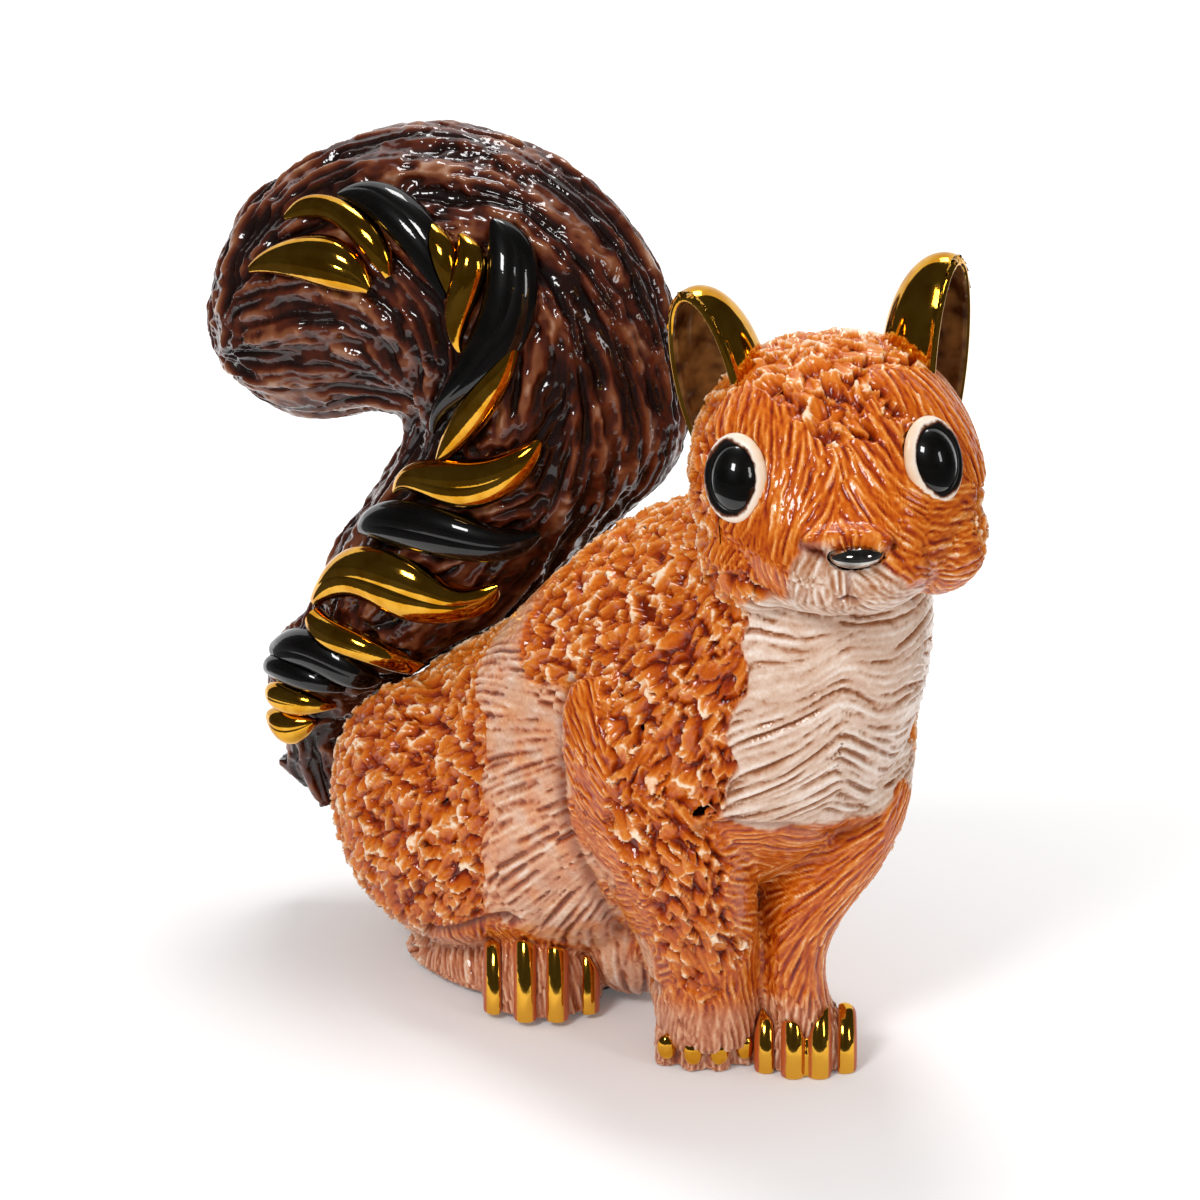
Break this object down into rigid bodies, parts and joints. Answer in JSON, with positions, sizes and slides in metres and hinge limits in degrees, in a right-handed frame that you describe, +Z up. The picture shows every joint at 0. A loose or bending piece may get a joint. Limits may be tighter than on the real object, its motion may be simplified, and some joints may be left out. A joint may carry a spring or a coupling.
{
  "type": "squirrel figurine",
  "caption": "Seated squirrel figurine in glazed earthenware with a turned head, a curled-back tail, mirror-gold ears and claws, and gold and black locks on the tail.",
  "frame": {"origin": "on the underside of the felt sheet, on the middle line of the body", "axes": "+Z up; the body looks along -Y, its right side is -X, and the face turns towards -X"},
  "size_m": [0.0578, 0.1358, 0.1179],
  "materials": {
    "orange_glaze": "gloss",
    "brown_glaze": "gloss",
    "black_glaze": "gloss",
    "cream_glaze": "gloss",
    "gold_lustre": "mirror",
    "platinum_lustre": "mirror",
    "felt": "matte"
  },
  "bodies": {
    "root": {"base_felt": "felt", "black_lock_left_1": "black_glaze", "black_lock_left_2": "black_glaze", "black_lock_left_3": "black_glaze", "black_lock_left_4": "black_glaze", "black_lock_right_1": "black_glaze", "black_lock_right_2": "black_glaze", "black_lock_right_3": "black_glaze", "black_lock_right_4": "black_glaze", "black_lock_right_5": "black_glaze", "ear_left": "gold_lustre", "ear_right": "gold_lustre", "eye_left": "black_glaze", "eye_right": "black_glaze", "eyelid_left": "cream_glaze", "eyelid_right": "cream_glaze", "foreleg_left": "orange_glaze", "foreleg_right": "orange_glaze", "forepaw_left": "orange_glaze", "forepaw_left_claws": "gold_lustre", "forepaw_right": "orange_glaze", "forepaw_right_claws": "gold_lustre", "gold_lock_left_2": "gold_lustre", "gold_lock_left_4": "gold_lustre", "gold_lock_left_5": "gold_lustre", "gold_lock_left_6": "gold_lustre", "gold_lock_left_7": "gold_lustre", "gold_lock_right_1": "gold_lustre", "gold_lock_right_10": "gold_lustre", "gold_lock_right_2": "gold_lustre", "gold_lock_right_3": "gold_lustre", "gold_lock_right_4": "gold_lustre", "gold_lock_right_5": "gold_lustre", "gold_lock_right_6": "gold_lustre", "gold_lock_right_7": "gold_lustre", "gold_lock_right_8": "gold_lustre", "gold_lock_right_9": "gold_lustre", "haunch_left": "orange_glaze", "haunch_right": "orange_glaze", "head": "orange_glaze", "hind_foot_left": "orange_glaze", "hind_foot_left_claws": "gold_lustre", "hind_foot_right": "orange_glaze", "hind_foot_right_claws": "gold_lustre", "nose": "platinum_lustre", "tail": "brown_glaze", "torso": "orange_glaze"}
  },
  "joints": []
}
